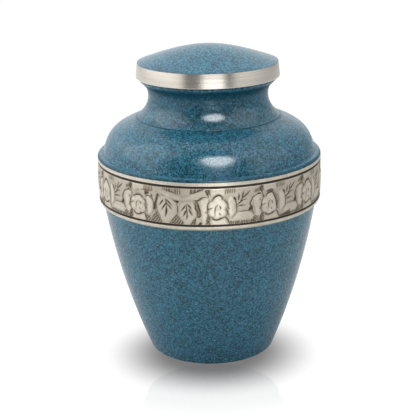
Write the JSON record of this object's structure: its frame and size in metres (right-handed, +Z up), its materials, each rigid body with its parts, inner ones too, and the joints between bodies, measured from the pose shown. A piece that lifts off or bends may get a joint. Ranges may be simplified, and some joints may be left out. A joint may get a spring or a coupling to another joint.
{
  "type": "cremation urn",
  "caption": "Turned metal cremation urn with a tapering blue speckled body, an engraved floral belt, a flared neck and a domed lift-off lid; holds ashes and stands on its flat underside.",
  "frame": {"origin": "centre of the underside, on the surface that the urn stands on", "axes": "+Z up along the turning axis; the front, where a flower of the belt shows nearly in the middle, faces -Y"},
  "size_m": [0.1764, 0.176, 0.2452],
  "materials": {
    "speckled_enamel": "gloss",
    "engraved_pewter": "satin, dark in the cuts",
    "brushed_nickel": "finely turned satin"
  },
  "bodies": {
    "root": {"urn_body": "speckled_enamel", "urn_lid": "speckled_enamel"}
  },
  "joints": []
}
